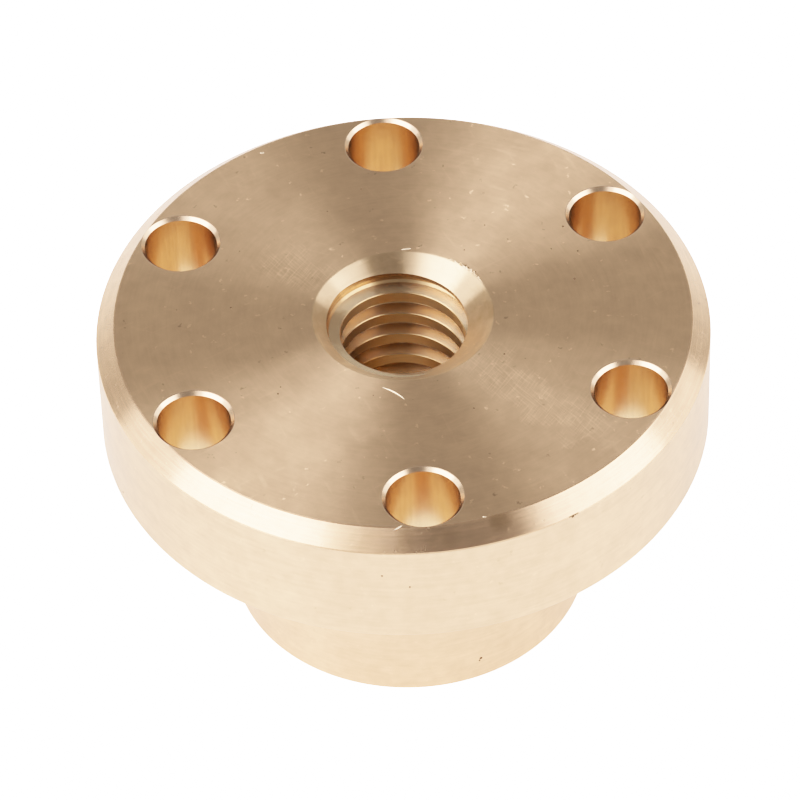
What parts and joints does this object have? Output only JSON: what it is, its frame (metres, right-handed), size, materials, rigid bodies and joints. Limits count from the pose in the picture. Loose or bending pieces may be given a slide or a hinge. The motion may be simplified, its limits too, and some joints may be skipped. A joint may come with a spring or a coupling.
{
  "type": "flanged lead screw nut",
  "caption": "One-piece bronze nut with a trapezoidal internal thread, a round hub and a thick round flange drilled for cap screws.",
  "frame": {"origin": "centre of the hub's end face, on the screw's axis", "axes": "+Z along the screw's axis from the hub's end towards the flange; +X points midway between two bolt holes"},
  "size_m": [0.042, 0.042, 0.025],
  "materials": {
    "turned_bronze": "turned bare bronze, fine concentric tool marks, unpolished"
  },
  "bodies": {
    "root": {"flanged_nut": "turned_bronze"}
  },
  "joints": []
}
